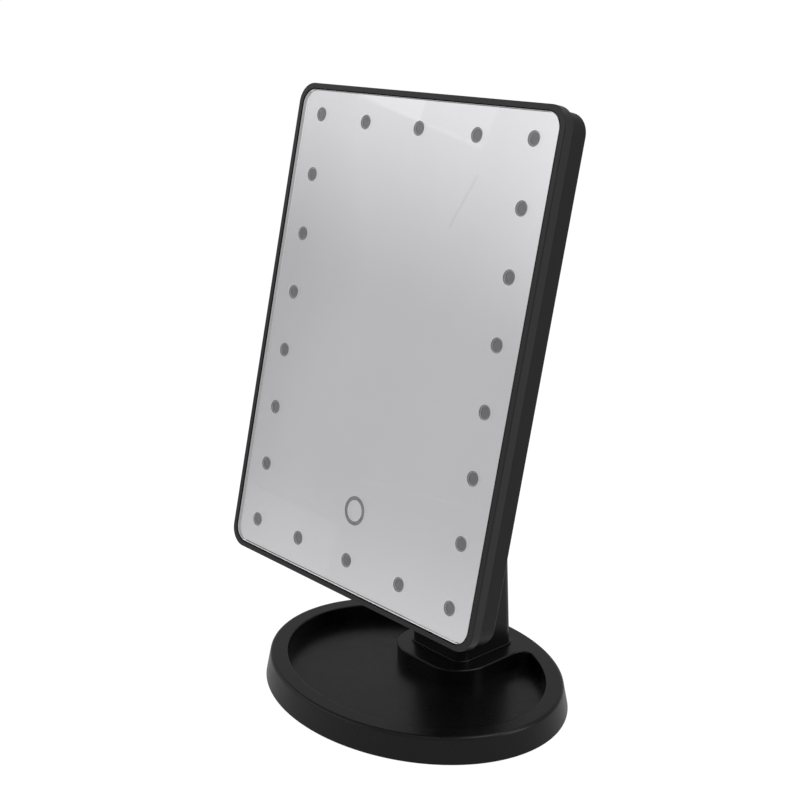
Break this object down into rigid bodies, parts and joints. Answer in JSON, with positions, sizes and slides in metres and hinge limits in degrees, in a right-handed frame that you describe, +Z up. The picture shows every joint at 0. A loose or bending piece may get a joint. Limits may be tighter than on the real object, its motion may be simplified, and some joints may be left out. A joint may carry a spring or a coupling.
{
  "type": "countertop mirror",
  "caption": "Lighted countertop mirror: a rectangular framed mirror with lights round its edge, tilting on a curved neck over an oval tray base.",
  "frame": {"origin": "on the table, under the middle of the oval base", "axes": "+Z up, X across the mirror, the mirror faces -Y and leans back 12.9 degrees at rest"},
  "size_m": [0.1654, 0.1276, 0.2762],
  "materials": {
    "frame_plastic": "satin",
    "clear_glass": "polished",
    "silvering": "mirror",
    "foam_tape": "matt foam",
    "board_white": "solder mask",
    "led_package": "phosphor",
    "sensor_copper": "bare",
    "board_green": "solder mask",
    "component_black": "moulded",
    "socket_steel": "plated",
    "housing_plastic": "satin",
    "cell_jacket": "gloss",
    "nickel": "plated",
    "wire_jacket": "soft",
    "switch_plastic": "moulded",
    "black_steel": "black oxide",
    "zinc_steel": "zinc",
    "hinge_plastic": "satin",
    "pin_steel": "turned",
    "fibre": "fibre",
    "bush_nylon": "smooth",
    "neck_plastic": "satin",
    "base_plastic": "satin",
    "plate_plastic": "matt",
    "foot_rubber": "matt"
  },
  "bodies": {
    "stand": {"neck_front_shell": "neck_plastic", "neck_rear_shell": "neck_plastic", "knuckle_sleeve": "bush_nylon", "neck_screws": "black_steel", "base_tray": "base_plastic", "tenon_screws": "zinc_steel", "base_plate": "plate_plastic", "base_screws": "zinc_steel", "rubber_feet": "foot_rubber"},
    "head": {"front_frame": "frame_plastic", "mirror_glass": "clear_glass", "silver_backing": "silvering", "glass_tape": "foam_tape", "led_board": "board_white", "leds": "led_package", "touch_sensor": "sensor_copper", "control_board": "board_green", "board_components": "component_black", "charge_socket": "socket_steel", "rear_housing": "housing_plastic", "battery_cells": "cell_jacket", "contact_plates": "nickel", "contact_springs": "nickel", "battery_leads": "wire_jacket", "switch_body": "switch_plastic", "housing_screws": "black_steel", "hinge_bracket": "hinge_plastic", "bracket_screws": "black_steel", "hinge_pin": "pin_steel", "friction_washers": "fibre", "spring_washer": "pin_steel", "hinge_nut": "pin_steel", "hinge_caps": "hinge_plastic"},
    "battery_cover": {"battery_door": "housing_plastic"},
    "switch_slider": {"switch_knob": "switch_plastic"}
  },
  "joints": [
    {"name": "head_tilt", "type": "hinge", "parent": "stand", "child": "head", "pos_m": [0, 0.0024, 0.1149], "axis": [-1, 0, 0], "range_deg": [-35.5, 74.5]},
    {"name": "battery_door_slide", "type": "slide", "parent": "head", "child": "battery_cover", "axis": [0, 0.2233, 0.9748], "range_m": [0, 0.055]},
    {"name": "power_switch_slide", "type": "slide", "parent": "head", "child": "switch_slider", "axis": [1, 0, 0], "range_m": [0, 0.004]}
  ]
}
